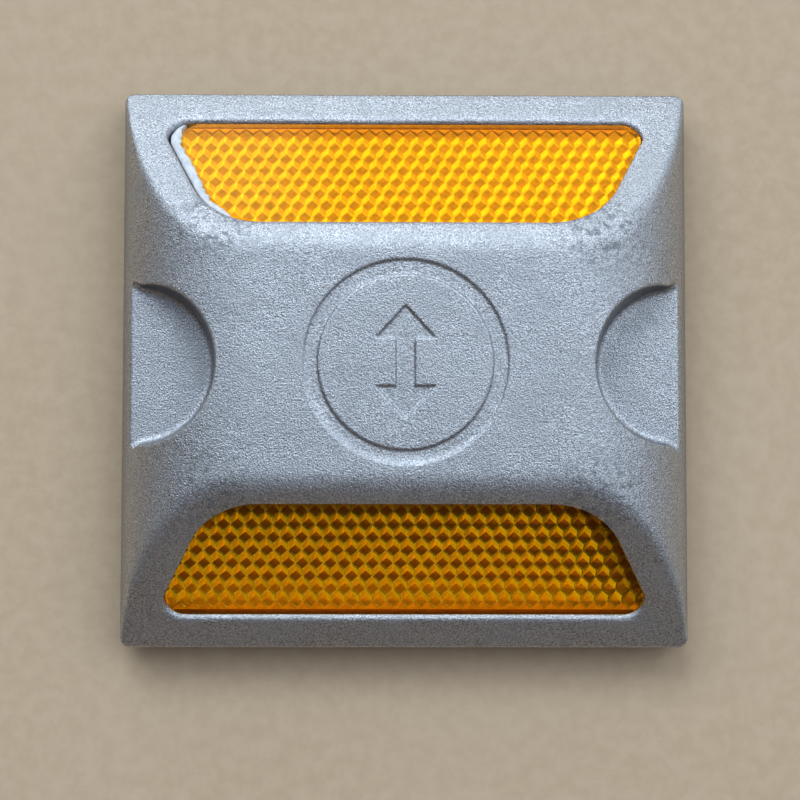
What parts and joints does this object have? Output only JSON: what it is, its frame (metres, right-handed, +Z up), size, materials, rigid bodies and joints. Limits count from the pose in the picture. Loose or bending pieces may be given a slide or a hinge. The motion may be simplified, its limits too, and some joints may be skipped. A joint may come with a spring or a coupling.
{
  "type": "raised pavement marker",
  "caption": "Square die-cast road stud with sloped amber reflectors on opposite faces, rounded shoulders, finger notches and a butyl mounting pad.",
  "frame": {"origin": "centre of the pad's underside, on the road surface", "axes": "+Z up from the road, +Y the way the far reflector faces, X towards the finger notches"},
  "size_m": [0.1, 0.098, 0.0233],
  "materials": {
    "cast_aluminium": "shot-blasted, fine grain",
    "amber_lens": "clear amber acrylic, polished face over moulded prisms",
    "silvered_abs": "moulded tray with a satin silver coat",
    "adhesive": "cured, off-white, slightly glossy",
    "butyl_pad": "matt black, tacky"
  },
  "bodies": {
    "root": {"body_casting": "cast_aluminium", "far_lens": "amber_lens", "near_lens": "amber_lens", "far_lens_backing": "silvered_abs", "near_lens_backing": "silvered_abs", "far_adhesive": "adhesive", "near_adhesive": "adhesive", "mounting_pad": "butyl_pad"}
  },
  "joints": []
}
